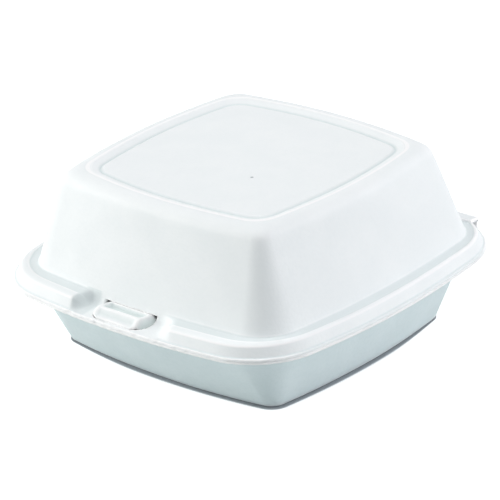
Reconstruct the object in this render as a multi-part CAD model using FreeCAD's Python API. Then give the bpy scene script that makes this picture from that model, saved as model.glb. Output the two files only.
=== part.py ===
"""Hinged foam clamshell: a square tray and a taller square lid, joined by a folded hinge at the back.

Millimetres, +Z up, latch side at -Y, hinge at +Y, origin under the middle of the closed container.
Every horizontal outline is a bowed square: four shallow side arcs joined by four tangent corner arcs.
The walls are ruled between such outlines, as vacuum-formed foam is drawn between mould edges.
"""
import FreeCAD, Part
import math
import os
from collections import namedtuple

Vector = FreeCAD.Vector
Outline = namedtuple("Outline", "half_x half_y side_radius corner_radius centre_y")

# Plan of the flange: half sizes, radii of the side and corner arcs, and its middle along Y
FLANGE_HALF_X = 76.2
FLANGE_HALF_Y = 77.5
FLANGE_SIDE = 355.0
FLANGE_CORNER = 31.0
FLANGE_Y = -1.0

# Foam sheet
WALL = 2.2                # thickness of the blown sheet, measured level
FLOOR = 2.4               # thickness of the tray's floor and the lid's top
PRESSED = 1.0             # thickness of the pressed flanges
SEAM = 0.1                # gap between the two flanges when closed

# Lid, with heights above the face that it closes on
LID_RISE = 42.6           # top of the closed container
FOOT_RISE = 6.0           # where the lid's wall meets the ledge
LEDGE_RISE = 5.0          # floor of the shallow ledge round the wall
LEDGE_SHEET = 1.7         # thickness of the ledge
LEDGE_EDGE = 0.7          # width of the small steps on both sides of the ledge
BEAD_RISE = 5.5           # top of the rounded bead outside the ledge
BEAD_INSET = 3.5          # from the flange edge to the top of the bead
BEAD_ROUND = 1.2
LEDGE_INSET_X = 5.5       # from the flange edge to the outer edge of the ledge
LEDGE_INSET_Y = 6.5
LEDGE_SIDE = 349.0        # radii of the side and corner arcs of that edge
LEDGE_CORNER = 25.5
LEDGE_SHIFT = 1.5         # how far it lies behind the middle of the flange
SKIRT_INSET = 1.3         # from the flange edge to the foot of the bead's skirt
FOOT_INSET_X = 10.4       # from the flange edge to the foot of the wall
FOOT_INSET_Y = 11.7
FOOT_SIDE = 420.0         # radii of the side and corner arcs at the foot
FOOT_CORNER = 16.5
FOOT_SHIFT = 1.8          # how far the lid's well lies behind the middle of the flange
LID_DRAFT_X = 10.4        # how far the wall leans in from the foot to the crown
LID_DRAFT_Y = 10.2
CROWN_SIDE = 240.0
CROWN_CORNER = 6.5
CROWN_ROUND = 5.5         # rounding between the wall and the top
CROWN_SHIFT = -0.3
PANEL_INSET_X = 9.6       # from the crown to the foot of the step round the sunk panel
PANEL_INSET_Y = 10.3
PANEL_SIDE = 207.0
PANEL_CORNER = 9.0
PANEL_SHIFT = 0.3
PANEL_DEPTH = 0.8         # how deep the panel is sunk
PANEL_SLOPE = 3.4         # width of the sloping step round the panel
GROOVE_DEPTH = 1.4        # depth of the groove at the foot of that step
GROOVE_WIDTH = 1.4
PANEL_ROUND = 0.8

# Tray
FLANGE_TOP = 29.0         # height of the face that the lid closes on
FLOOR_DRAFT_X = 10.6      # how far the wall leans in from the flange to the floor
FLOOR_DRAFT_Y = 14.7
FLOOR_SIDE = 290.0        # radii of the floor's side and corner arcs
FLOOR_CORNER = 6.0
FLOOR_ROUND = 2.0         # rounding where the floor turns up, outside
FLOOR_HOLLOW = 2.0        # the same inside
MOUTH_ROUND = 1.5         # hollow rounding between the wall and the flange
RIM_WIDTH = 3.0           # raised rim round the tray's mouth
RIM_LEAN = 0.4            # how far the rim's outer side leans in
RIM_ROUND = 0.8
RIM_SIDE_GAP = 1.5        # clearance between the rim and the inside of the lid's bead
RIM_TOP_GAP = 0.9         # clearance between the rim and the lid's ledge

# Latch: a flat landing breaks the bead, and the tray's tongue comes up through a slot in it
LATCH_X = -3.0            # middle of the latch
LANDING_LEFT = 21.0       # from the latch's middle to the landing's left end
LANDING_RIGHT = 19.5      # the same to its right end, at the wall
LANDING_EDGE = 27.0       # the same to its right end, at the flange edge
WINDOW_GAP = 0.5          # clearance beside the tongue in the window of the lid's wall
WINDOW_RISE = 3.8         # underside of the hood over the tongue, above the tray's flange
TONGUE_HALF = 12.9        # half the tongue's width
TONGUE_CORNER = 6.0       # plan radius of the tongue's front corners
TONGUE_SETBACK = 2.2      # from the flange edge to the tongue's nose
TONGUE_SHEET = 1.8        # thickness of the tongue
TONGUE_GAP = 0.5          # clearance round the tongue in the slot
TONGUE_BURY = 0.8         # how deep in the tray's wall the tongue starts
TONGUE_DROP = 2.0         # how far under the flange's top face it starts
TONGUE_HEADING = 30.0     # heading of its rise, in degrees from +Y
TONGUE_RISE = 4.4         # length of the straight rise
HEEL_RADIUS = 1.2         # bend at the top of the rise
HEEL_TURN = 142.0
TONGUE_BACK = 6.0         # length of the straight back
NOSE_RADIUS = 2.6         # bend over the nose
NOSE_TURN = 48.0
TONGUE_LIP = 2.6          # straight end of the nose

# Hinge
HINGE_HALF = 50.0         # half the length of the fold
HINGE_FLARE = 6.0         # how much longer the hinge is where it leaves the ledge, at each end
HINGE_OUT = 1.1           # fold line behind the flange edge
FOLD_RADIUS = 0.9         # half the thickness of the fold
FOLD_GAP = 0.15           # clearance between the fold and the apron
APRON_SHEET = 1.5         # thickness of the strip that runs from the bead down to the fold
APRON_BURY = 0.6          # how deep in the lid's wall the apron starts
APRON_FLAT = 3.7          # from the wall to the bend where the apron turns down
APRON_PROUD = 0.2         # how far it lies above the bead

OVERCUT = 10.0            # how far cutting tools run past the part
ROUND_STEPS = 5           # bands laid along each rounding
TOUCH = 1e-6              # lengths under this are none

# Places that follow from the sizes
SEAM_TOP = FLANGE_TOP + SEAM
FOLD_Z = FLANGE_TOP + SEAM / 2
LID_TOP = FLANGE_TOP + LID_RISE
FOOT_Z = FLANGE_TOP + FOOT_RISE
LEDGE_Z = FLANGE_TOP + LEDGE_RISE
LEDGE_UNDER = LEDGE_Z - LEDGE_SHEET
BEAD_Z = FLANGE_TOP + BEAD_RISE
RIM_INSET = BEAD_INSET + WALL + RIM_SIDE_GAP
MOUTH_INSET = RIM_INSET + RIM_WIDTH / 2
FLANGE_FRONT = FLANGE_Y - FLANGE_HALF_Y
FOOT_FRONT = FLANGE_FRONT + FOOT_INSET_Y + FOOT_SHIFT
FOOT_BACK = FLANGE_Y + FLANGE_HALF_Y - FOOT_INSET_Y + FOOT_SHIFT
HINGE_Y = FLANGE_Y + FLANGE_HALF_Y + HINGE_OUT
APRON_INNER = FOOT_BACK - APRON_BURY
APRON_BEND = FOOT_BACK + APRON_FLAT


def inside(outline, inset_x, inset_y, side_radius, corner_radius, shift=0.0):
    """Outline drawn in from another, with radii of its own, its middle shifted along Y."""
    return Outline(outline.half_x - inset_x, outline.half_y - inset_y, side_radius, corner_radius,
                   outline.centre_y + shift)


FLANGE = Outline(FLANGE_HALF_X, FLANGE_HALF_Y, FLANGE_SIDE, FLANGE_CORNER, FLANGE_Y)
TRAY_MOUTH = inside(FLANGE, MOUTH_INSET, MOUTH_INSET, FLANGE_SIDE - MOUTH_INSET,
                    FLANGE_CORNER - MOUTH_INSET)
TRAY_FLOOR = inside(TRAY_MOUTH, FLOOR_DRAFT_X, FLOOR_DRAFT_Y, FLOOR_SIDE, FLOOR_CORNER)
LID_LEDGE = inside(FLANGE, LEDGE_INSET_X, LEDGE_INSET_Y, LEDGE_SIDE, LEDGE_CORNER, LEDGE_SHIFT)
LID_FOOT = inside(FLANGE, FOOT_INSET_X, FOOT_INSET_Y, FOOT_SIDE, FOOT_CORNER, FOOT_SHIFT)
LID_CROWN = inside(LID_FOOT, LID_DRAFT_X, LID_DRAFT_Y, CROWN_SIDE, CROWN_CORNER, CROWN_SHIFT)
LID_PANEL = inside(LID_CROWN, PANEL_INSET_X, PANEL_INSET_Y, PANEL_SIDE, PANEL_CORNER, PANEL_SHIFT)


def at(outline, inset, z, radius=0):
    """Station of a section: an outline moved inwards by the inset, its height, and its rounding."""
    moved = Outline(outline.half_x - inset, outline.half_y - inset, outline.side_radius - inset,
                    outline.corner_radius - inset, outline.centre_y)
    return moved, z, radius


def corner_centre(outline):
    """Centre of the corner arc: it lies one radius difference from both side arcs' centres."""
    p = outline.side_radius - outline.half_x
    q = outline.side_radius - outline.half_y
    reach = outline.side_radius - outline.corner_radius
    apart = math.hypot(p, q)
    along = math.sqrt(reach ** 2 - apart ** 2 / 4)
    return -p / 2 + along * q / apart, -q / 2 + along * p / apart


def ring(outline, z):
    """Closed wire of an outline at height z: four corner arcs, each followed by a side arc."""
    cx, cy = corner_centre(outline)
    start = math.atan2(cy, cx - outline.half_x + outline.side_radius)
    end = math.atan2(cy - outline.half_y + outline.side_radius, cx)
    turn = [start, (start + end) / 2, end]
    radius = outline.corner_radius

    def place(x, y):
        return Vector(x, y + outline.centre_y, z)

    corners = []
    for sx, sy in ((1, 1), (-1, 1), (-1, -1), (1, -1)):
        arc = [place(sx * (cx + radius * math.cos(t)), sy * (cy + radius * math.sin(t))) for t in turn]
        corners.append(arc if sx == sy else arc[::-1])
    middles = [place(0, outline.half_y), place(-outline.half_x, 0),
               place(0, -outline.half_y), place(outline.half_x, 0)]
    arcs = []
    for i in range(4):
        arcs.append(Part.Arc(*corners[i]).toShape())
        arcs.append(Part.Arc(corners[i][2], middles[i], corners[(i + 1) % 4][0]).toShape())
    return Part.Wire(arcs)


def rounding(before, corner, after):
    """Rings along the arc that rounds a section's corner, tangent to the runs on both sides."""
    radius = corner[2]
    here = list(corner[0]) + [corner[1]]
    runs = []
    for other in (before, after):
        run = [p - q for p, q in zip(list(other[0]) + [other[1]], here)]
        length = math.hypot(run[0], run[-1])
        runs.append([value / length for value in run])
    back, on = runs
    turn = math.pi - math.acos(back[0] * on[0] + back[-1] * on[-1])
    reach = radius * math.tan(turn / 2)
    rings = []
    for step in range(ROUND_STEPS + 1):
        angle = turn * step / ROUND_STEPS
        lift = radius * (1 - math.cos(angle)) / math.sin(turn)
        along = reach - radius * math.sin(angle) + lift * math.cos(turn)
        *outline, z = [h + along * p + lift * q for h, p, q in zip(here, back, on)]
        rings.append(ring(Outline(*outline), z))
    return rings


def band(low, high):
    """Faces between two rings: a flat face with a hole at one height, else ruled."""
    if abs(low.BoundBox.ZMin - high.BoundBox.ZMin) > TOUCH:
        return Part.makeRuledSurface(low, high).Faces
    inner, outer = sorted((Part.Face(low), Part.Face(high)), key=lambda face: face.Area)
    return outer.cut(inner).Faces


def turned(stations):
    """Solid whose section runs through the stations, closed flat at the first and the last."""
    paths = [[ring(*stations[0][:2])]]
    for i in range(1, len(stations) - 1):
        if stations[i][2]:
            paths.append(rounding(*stations[i - 1:i + 2]))
        else:
            paths.append([ring(*stations[i][:2])])
    paths.append([ring(*stations[-1][:2])])
    faces = [Part.Face(paths[0][0]), Part.Face(paths[-1][0])]
    for i in range(1, len(paths)):
        faces += band(paths[i - 1][-1], paths[i][0])
        for low, high in zip(paths[i], paths[i][1:]):
            faces += band(low, high)
    shell = Part.Shell(faces)
    shell.sewShape()
    solid = Part.Solid(shell)
    if solid.Volume < 0:
        solid.reverse()
    return solid


def prism(points, z_low, z_high):
    """Upright prism over a polygon given as (x, y) corners."""
    wire = Part.makePolygon([Vector(x, y, z_low) for x, y in points + points[:1]])
    return Part.Face(wire).extrude(Vector(0, 0, z_high - z_low))


def tray_body():
    """Tray wall, floor, flange and raised rim, drawn as one closed section."""
    flange_under = FLANGE_TOP - PRESSED
    rim_top = LEDGE_UNDER - RIM_TOP_GAP
    return turned([
        at(TRAY_FLOOR, WALL + FLOOR_ROUND, 0),
        at(TRAY_FLOOR, 0, 0, FLOOR_ROUND),
        at(TRAY_MOUTH, 0, flange_under, MOUTH_ROUND),
        at(FLANGE, 0, flange_under),
        at(FLANGE, 0, FLANGE_TOP),
        at(FLANGE, RIM_INSET, FLANGE_TOP),
        at(FLANGE, RIM_INSET + RIM_LEAN, rim_top, RIM_ROUND),
        at(FLANGE, RIM_INSET + RIM_WIDTH, rim_top, RIM_ROUND),
        at(TRAY_MOUTH, WALL, flange_under),
        at(TRAY_FLOOR, WALL, FLOOR, FLOOR_HOLLOW),
        at(TRAY_FLOOR, WALL + FLOOR_HOLLOW, FLOOR),
    ])


def strip(start, heading, moves, thickness):
    """Closed YZ section of a bent strip: moves are (length,) or (radius, left turn in degrees)."""
    y, z = start
    angle = math.radians(heading)
    right, left = [], []

    def offset(side, at_y, at_z, a):
        return Vector(0, at_y + side * math.sin(a), at_z - side * math.cos(a))

    half = thickness / 2
    for move in moves:
        before = (y, z, angle)
        if len(move) == 1:
            y += move[0] * math.cos(angle)
            z += move[0] * math.sin(angle)
            for side, edges in ((half, right), (-half, left)):
                edges.append(Part.makeLine(offset(side, *before), offset(side, y, z, angle)))
            continue
        radius, turn = move[0], math.radians(move[1])
        centre_y = y - radius * math.sin(angle)
        centre_z = z + radius * math.cos(angle)

        def on_arc(side, a):
            return offset(radius + side, centre_y, centre_z, a)

        for side, edges in ((half, right), (-half, left)):
            points = [on_arc(side, angle + turn * part) for part in (0, 0.5, 1)]
            edges.append(Part.Arc(*points).toShape())
        angle += turn
        y = centre_y + radius * math.sin(angle)
        z = centre_z - radius * math.cos(angle)
    start_cap = Part.makeLine(left[0].firstVertex(True).Point, right[0].firstVertex(True).Point)
    end_cap = Part.makeLine(right[-1].lastVertex(True).Point, left[-1].lastVertex(True).Point)
    return Part.Wire(Part.__sortEdges__([start_cap] + right + [end_cap] + left))


def tongue_plan(grow, z_low, z_high):
    """Upright prism over the tongue's outline: straight sides and two rounded front corners."""
    half = TONGUE_HALF + grow
    front = FLANGE_FRONT + TONGUE_SETBACK - grow
    back = FOOT_FRONT + OVERCUT
    block = Part.makeBox(2 * half, back - front, z_high - z_low, Vector(LATCH_X - half, front, z_low))
    corners = [e for e in block.Edges if e.BoundBox.YMax - front < TOUCH < e.BoundBox.ZLength]
    return block.makeFillet(TONGUE_CORNER + grow, corners)


def tongue():
    """Foam tongue that rises from the tray's wall, runs outwards and bends its nose down."""
    root = (FLANGE_FRONT + MOUTH_INSET + TONGUE_BURY, FLANGE_TOP - TONGUE_DROP)
    moves = [(TONGUE_RISE,), (HEEL_RADIUS, HEEL_TURN), (TONGUE_BACK,), (NOSE_RADIUS, NOSE_TURN),
             (TONGUE_LIP,)]
    section = Part.Face(strip(root, TONGUE_HEADING, moves, TONGUE_SHEET))
    section.translate(Vector(LATCH_X - TONGUE_HALF - OVERCUT, 0, 0))
    bar = section.extrude(Vector(2 * (TONGUE_HALF + OVERCUT), 0, 0))
    return bar.common(tongue_plan(0, 0, LID_TOP))


def landing(grow, z_low):
    """Space over the latch landing: its left end is square, its right end slants out to the edge."""
    slope = (LANDING_EDGE - LANDING_RIGHT) / (FOOT_FRONT - FLANGE_FRONT)
    left = LATCH_X - LANDING_LEFT - grow
    right_inner = LATCH_X + LANDING_RIGHT + grow - slope * OVERCUT
    right_outer = LATCH_X + LANDING_EDGE + grow + slope * OVERCUT
    inner_y = FOOT_FRONT + OVERCUT
    outer_y = FLANGE_FRONT - OVERCUT
    points = [(left, inner_y), (right_inner, inner_y), (right_outer, outer_y), (left, outer_y)]
    return prism(points, z_low, BEAD_Z + OVERCUT)


def wall_core(inset):
    """The lid's wall carried straight down past its foot, so that the landing can end on it."""
    flare = FOOT_RISE * LID_DRAFT_X / (LID_RISE - FOOT_RISE)
    return turned([at(LID_FOOT, inset - flare, FLANGE_TOP), at(LID_CROWN, inset, LID_TOP)])


def lid_outside():
    """Everything inside the lid's outer face, down to the seam."""
    lip_top = SEAM_TOP + PRESSED
    return turned([
        at(FLANGE, 0, SEAM_TOP),
        at(FLANGE, 0, lip_top),
        at(FLANGE, SKIRT_INSET, lip_top),
        at(FLANGE, BEAD_INSET, BEAD_Z, BEAD_ROUND),
        at(LID_LEDGE, -LEDGE_EDGE, BEAD_Z),
        at(LID_LEDGE, 0, LEDGE_Z),
        at(LID_FOOT, -LEDGE_EDGE, LEDGE_Z),
        at(LID_FOOT, 0, FOOT_Z),
        at(LID_CROWN, 0, LID_TOP, CROWN_ROUND),
        at(LID_PANEL, -PANEL_SLOPE, LID_TOP, PANEL_ROUND),
        at(LID_PANEL, 0, LID_TOP - GROOVE_DEPTH),
        at(LID_PANEL, GROOVE_WIDTH, LID_TOP - PANEL_DEPTH),
    ])


def lid_inside():
    """The lid's hollow, with the channel under the ledge that drops over the tray's rim."""
    roof = LID_TOP - FLOOR
    return turned([
        at(FLANGE, SKIRT_INSET + WALL, SEAM_TOP - OVERCUT),
        at(FLANGE, SKIRT_INSET + WALL, SEAM_TOP),
        at(FLANGE, BEAD_INSET + WALL, LEDGE_UNDER),
        at(LID_FOOT, WALL, LEDGE_UNDER),
        at(LID_CROWN, WALL, roof, CROWN_ROUND - WALL),
        at(LID_PANEL, -PANEL_SLOPE, roof),
        at(LID_PANEL, 0, roof - PANEL_DEPTH),
    ])


def lid_body():
    """Lid: outside solid less inside solid, both with the latch landing taken out of the bead."""
    outside = lid_outside().cut(landing(0, SEAM_TOP + PRESSED).cut(wall_core(0)))
    inside_landing = landing(WALL, SEAM_TOP - 2 * OVERCUT).cut(wall_core(WALL))
    return outside.cut(lid_inside().cut(inside_landing))


def slot():
    """Slot for the tongue through the landing, and the window over it in the foot of the lid's wall."""
    below = FLANGE_TOP - OVERCUT
    top = FLANGE_TOP + WINDOW_RISE
    half = TONGUE_HALF + WINDOW_GAP
    window = Part.makeBox(2 * half, OVERCUT, top - below,
                          Vector(LATCH_X - half, FOOT_FRONT - 2 * WALL, below))
    return tongue_plan(TONGUE_GAP, below, top).fuse(window)


def along_hinge(points):
    """Prism along the hinge over a YZ polygon, its ends slanted towards the fold."""
    far = HINGE_HALF + HINGE_FLARE
    wire = Part.makePolygon([Vector(-far, y, z) for y, z in points + points[:1]])
    bar = Part.Face(wire).extrude(Vector(2 * far, 0, 0))
    ends = [(-far, APRON_INNER), (far, APRON_INNER), (far, APRON_BEND),
            (HINGE_HALF, HINGE_Y), (HINGE_HALF, HINGE_Y + OVERCUT),
            (-HINGE_HALF, HINGE_Y + OVERCUT), (-HINGE_HALF, HINGE_Y), (-far, APRON_BEND)]
    return bar.common(prism(ends, 0, LID_TOP))


def fold(radius, half):
    """Round bar on the fold line."""
    return Part.makeCylinder(radius, 2 * half, Vector(-half, HINGE_Y, FOLD_Z), Vector(1, 0, 0))


def tray_hinge():
    """Straight leaf behind the tray's flange, ending in the rounded fold."""
    under = FLANGE_TOP - PRESSED
    leaf = along_hinge([(APRON_INNER, under), (HINGE_Y, under), (HINGE_Y, FLANGE_TOP),
                        (APRON_INNER, FLANGE_TOP)])
    return leaf.fuse(fold(FOLD_RADIUS, HINGE_HALF))


def lid_hinge():
    """Apron from the lid's ledge over the bead and down to the fold."""
    top = BEAD_Z + APRON_PROUD
    apron = along_hinge([
        (APRON_INNER, top - APRON_SHEET), (APRON_INNER, top), (APRON_BEND, top),
        (HINGE_Y, SEAM_TOP + APRON_SHEET), (HINGE_Y, SEAM_TOP), (HINGE_Y - APRON_SHEET, SEAM_TOP),
        (APRON_BEND - APRON_SHEET / 2, top - APRON_SHEET),
    ])
    return apron.cut(fold(FOLD_RADIUS + FOLD_GAP, HINGE_HALF + OVERCUT))


# The tray's rim stops short of the landing, and the tongue stands in the gap
rim_cut = landing(WALL + TONGUE_GAP, FLANGE_TOP)
tray = tray_body().cut(rim_cut).fuse([tongue(), tray_hinge()]).removeSplitter()
lid = lid_body().fuse(lid_hinge()).cut(slot()).removeSplitter()

os.makedirs("parts", exist_ok=True)
for name, shape in (("base_tray", tray), ("lid", lid)):
    shape.exportStep("parts/" + name + ".step")
    print(name, shape.ShapeType, len(shape.Solids), "valid", shape.isValid(), "volume", round(shape.Volume))
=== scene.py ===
"""Looks of a closed foam clamshell container: pressed sheet with soft roundings, latch tongue and hinge.

Every shape is a section carried round a bowed square, in millimetres, and put into the mesh in metres.
A bowed square is four shallow side arcs joined by four tangent corner arcs.
"""
import math

import bpy
import numpy as np
from mathutils import Matrix, Vector


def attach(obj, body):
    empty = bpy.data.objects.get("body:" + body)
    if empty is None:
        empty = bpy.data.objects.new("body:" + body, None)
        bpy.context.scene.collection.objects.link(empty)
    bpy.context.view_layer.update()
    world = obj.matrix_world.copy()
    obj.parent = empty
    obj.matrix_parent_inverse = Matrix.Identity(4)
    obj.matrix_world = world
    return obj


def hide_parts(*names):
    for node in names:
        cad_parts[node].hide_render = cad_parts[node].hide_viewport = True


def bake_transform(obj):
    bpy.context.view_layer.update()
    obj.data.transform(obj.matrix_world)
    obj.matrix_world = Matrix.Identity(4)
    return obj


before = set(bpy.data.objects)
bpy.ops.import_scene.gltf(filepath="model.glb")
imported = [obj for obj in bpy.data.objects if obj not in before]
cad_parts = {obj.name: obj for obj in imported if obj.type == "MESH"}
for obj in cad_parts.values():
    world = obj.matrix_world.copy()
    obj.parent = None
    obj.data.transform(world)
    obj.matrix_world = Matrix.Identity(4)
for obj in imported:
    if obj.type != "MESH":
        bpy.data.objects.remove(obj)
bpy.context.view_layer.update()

MM = 0.001

# Outlines seen from above: half sizes, radii of the side and corner arcs, middle along Y
FLANGE = np.array([76.2, 77.5, 355.0, 31.0, -1.0])
TRAY_MOUTH = np.array([67.5, 68.8, 346.3, 22.3, -1.0])
TRAY_FLOOR = np.array([56.9, 54.1, 290.0, 6.0, -1.0])
LID_LEDGE = np.array([70.7, 71.0, 349.0, 25.5, 0.5])
LID_FOOT = np.array([65.8, 65.8, 420.0, 16.5, 0.8])
LID_CROWN = np.array([55.4, 55.6, 240.0, 6.5, 0.5])
LID_PANEL = np.array([45.8, 45.3, 207.0, 9.0, 0.8])
SHRINK = np.array([1.0, 1.0, 1.0, 1.0, 0.0])

# Foam sheet
WALL = 2.2
FLOOR = 2.4
PRESSED = 1.0
EDGE_ROUND = 0.3

# Unevenness: size, shift and longest and shortest wave of the sheet's sway, its rise, and the trimmed edge
SWAY = 0.15
SWAY_IN = 0.2
SWAY_WAVES = (90, 22)
RISE = 0.06
RISE_DOWN = 0.1
RISE_WAVES = (80, 25)
RISE_FROM = (2, 10)             # the floor that it stands on stays flat below this height
FRONT_ROUGHNESS = 0.26          # how far the trimmed edge wanders at the front, and elsewhere
SIDE_ROUGHNESS = 0.09
FRONT_LIMIT = -55               # the front ends here
EDGE_IN = 0.9
EDGE_WAVES = (6, 1.3)
EDGE_RISE = 0.3
EDGE_RISE_WAVES = (5, 1.2)

# Heights
FLANGE_TOP = 29.0
SEAM_TOP = 29.1
LIP_TOP = SEAM_TOP + PRESSED
LEDGE_Z = 34.0
LEDGE_UNDER = 32.3
BEAD_Z = 34.5
FOOT_Z = 35.0
LID_TOP = 71.6
RIM_TOP = 31.4

# Insets from the flange edge, and widths
SKIRT_INSET = 1.3
BEAD_INSET = 3.5
LEDGE_EDGE = 0.7
RIM_INSET = 7.2
RIM_LEAN = 0.4
RIM_WIDTH = 3.0
PANEL_SLOPE = 3.4
PANEL_DEPTH = 0.8
GROOVE_DEPTH = 1.4
GROOVE_WIDTH = 1.4
GROOVE_UNDER = 0.2              # how far the groove stands out under the panel
CROWN_ROUND = 5.5
PANEL_EDGE = 3.0
PANEL_RISE = 0.25               # how far the panel's middle stands higher than its edge
UNDERSIDE_RISE = 0.5            # the same for the tray's underside, and for its floor
FLOOR_RISE = 0.4

# Roundings
LIP_SIDE = 0.45                 # height of the lip's upright side
LIP_ROUND = 0.4
SKIRT_ROUND = 0.7
BEAD_ROUND = 1.25
LEDGE_TOP_ROUND = 0.8
LEDGE_ROUND = 0.6
RIDGE_ROUND = 0.9
GROOVE_ROUND = 0.4
PANEL_ROUND = 0.6
FLANGE_SIDE = 0.4
FLANGE_ROUND = 0.35
MOUTH_ROUND = 1.5
RIM_FOOT_ROUND = 0.5
RIM_ROUND = 0.8
FLOOR_ROUND = 2.0
FLOOR_HOLLOW = 2.0

# Latch
LATCH_X = -3.0
FLANGE_FRONT = FLANGE[4] - FLANGE[1]
FOOT_FRONT = LID_FOOT[4] - LID_FOOT[1]
LANDING_LEFT = (21.6, 20.4)     # from the latch's middle to the landing's ends: at the wall, at the edge
LANDING_RIGHT = (22.5, 28.0)
LEFT_SHADE = (-7.0, -4.5, 0.0, 2.5)     # painted shadow on the landing by its left end, between these
LEFT_FADE = (-2.4, 1.4)         # from the landing's end: where the bead's end face starts and stops
RIGHT_FADE = (-9.0, 1.5)
LANDING_FILLET = 3.2
LIP_SHADE = 0.8                 # strength of the painted shade on the lip along the right side
LIP_SHADE_X = (67.0, 73.0)      # it starts between these, and reaches this far in
LIP_REACH = 1.5
END_SHADE = 1.5                 # strength of the painted shadow by the landing's left end
END_CLEAR = 1.8                 # how far that keeps off the trimmed edge
LEDGE_BAND = (0.15, 0.45)       # from the ledge's height: where the painted shade on its floor fades out
GROOVE_BAND = (0.95, 1.3)       # depths between which the painted shade in the groove comes in
GROOVE_SHADE = 1.35
SLOT_HALF = 13.2
WINDOW_TOP = 32.5
SLOT_FRONT = FLANGE_FRONT + 1.95
TONGUE_HALF = 12.9
TONGUE_CORNER = 6.0
TONGUE_SHEET = 1.8
TONGUE_RIM = (8.0, 9.6)         # from the tongue's middle: where its raised side rims start and are full
TONGUE_SIDE = (10.2, 12.9)      # from its middle: its sides turn down between these
# from its middle: painted shade on the tongue's sides between these
SIDE_SHADE = (10.6, 12.4)
SIDE_DROP = 2.2
DISH_DEPTH = 1.3
HOLLOW_DEPTH = 0.6
DISH_Y = (-71.4, -69.8, -66.9, -65.6)   # the dish behind the crest deepens, then rises to the hood
NOSE_Y = (-72.2, -73.8, -75.8)  # the nose's hollow deepens and runs out here
SIDE_FOOT = 29.4                # where the tongue's turned-down sides end
TONGUE_ROOT = (9.5, 2.0)        # where it starts: behind the flange edge, and under the flange's top
TONGUE_HEADING = 30.0
TONGUE_MOVES = ((4.4,), (1.2, 142.0), (5.5,), (2.6, 48.0), (3.4,))     # rise, heel, back, nose and lip
TONGUE_STEP = 0.2               # spacing of points along it
NOSE_TAPER = 0.8                # its last stretch gets thinner
NOSE_THIN = 0.96
TONGUE_WAVE = 0.05
TONGUE_WAVES = (30, 4)

# Hinge
HINGE_Y = 77.6
HINGE_Z = 29.05
HINGE_HALF = 50.0
HINGE_FLARE = 6.0
APRON_INNER = 66.0
APRON_BEND = 70.3
APRON_TOP = 34.7
APRON_SHEET = 1.5
FOLD_RADIUS = 0.6
FOLD_SHEET = 0.56
LEAF_SHEET = 0.8
APRON_ROUND = 2.5
HINGE_STEP = 0.3
THIN_FROM = 3.0                 # the apron gets thinner over this length before the fold
LEAF_FROM = 1.5                 # the leaf is full this far past it

# Grid
ARC_POINTS = 7          # points along each rounding of a section
LIP_POINTS = 54         # points from the lid's lip to the foot of its wall
SIDE_POINTS = 40        # columns along a plain side
CORNER_POINTS = 22      # columns round a corner
CAP_POINTS = 5          # points round each side edge of a strip
UPPER_RUNS = (20, 6, 2, 1, 2)   # points on wall, top, step, the groove's side and the panel's edge
TONGUE_COLUMNS = 60
HINGE_COLUMNS = 90
MIDDLE = 34.5           # half the front stretch whose columns run straight back
COLUMN = 0.66           # spacing of those columns
PANEL_RINGS = 13        # rings from the panel's edge to its middle
RIDGE_ROWS = (28, 33)   # rows past the foot of the wall between which the painted highlight line round the panel lies

# Camera, matched to the photograph
AZIMUTH = 42.08
ELEVATION = 23.98
ROLL = -3.05
DISTANCE = 1359.0
AIM_Z = 38.0
FOCAL_PIXELS = 3529.75
CENTRE_PIXEL = (250.8, 237.05)
PICTURE = 500.0
SENSOR = 36.0

# Foam colours, painted highlight and shade tones, and the pinhole that the mould left on the panel
LIGHT_FOAM = (0.90, 0.925, 0.93, 1)
DARK_FOAM = (0.875, 0.905, 0.912, 1)
RIDGE_HIGHLIGHT = (1.0, 1.0, 1.0, 1)         # painted highlight on ridges, painted shade in hollows
HOLLOW_SHADE = (0.80, 0.855, 0.865, 1)
# painted shade on the ledge's floor and the right lip, and painted shadow by the landing's left end
VALLEY_SHADE = (0.78, 0.83, 0.835, 1)
# painted shade in the tongue's dish and nose hollow and on its turned-down sides
DISH_SHADE = (0.74, 0.81, 0.80, 1)
# painted shade in the groove round the panel
GROOVE_SHADE_TONE = (0.66, 0.75, 0.76, 1)
# painted shade: the tray's foam is painted darker and more cyan than the lid's, standing in for the shade
# on its wall, which faces down
SHADED_TRAY_LIGHT = (0.77, 0.855, 0.87, 1)
SHADED_TRAY_DARK = (0.73, 0.82, 0.835, 1)
SPECK_COLOUR = (0.42, 0.45, 0.47, 1)
SPECK_PLACE = (0.01384, -0.0129, 0.07095)
SPECK_REACH = (0.0003, 0.0009)
SOAK = 0.15             # share of light that soaks into the foam, and how deep
SOAK_DEPTH = 0.0012
BEAD_SIZE = 0.0014      # size of the fused beads, and the strength of their bumps
BEAD_BUMP = 0.12
FINE_BEAD_SIZE = 0.0008         # the same where the foam is pressed
FINE_BEAD_BUMP = 0.2
BUMP_DEPTH = 0.00025
RIDGE_BENDS = (0.05, 0.38)      # bends between which a ridge gets the painted highlight, and a hollow the painted shade
HOLLOW_BENDS = (-0.06, -0.7)
CLOUD_SCALE = 70.0
GRAIN_SCALE = 2400.0

# Light
SKY = 0.31
SKY_COLOUR = (0.93, 0.97, 1.0, 1)
FLOOR_WHITE = 0.75
CONTACT_LINE = (0.9, 2.7)       # from the tray's floor outline: where the painted contact shadow fades to white
CONTACT_NARROW = (-82, -45)     # it is narrower towards the left end of the side with the latch
CONTACT_END = (50, 74)          # and towards the right end of the side on the right
CONTACT_ALONG = (0.743, 0.669)  # level direction along which that is measured
CONTACT_THIN = 0.15             # share of the line's width that is left there
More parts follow.
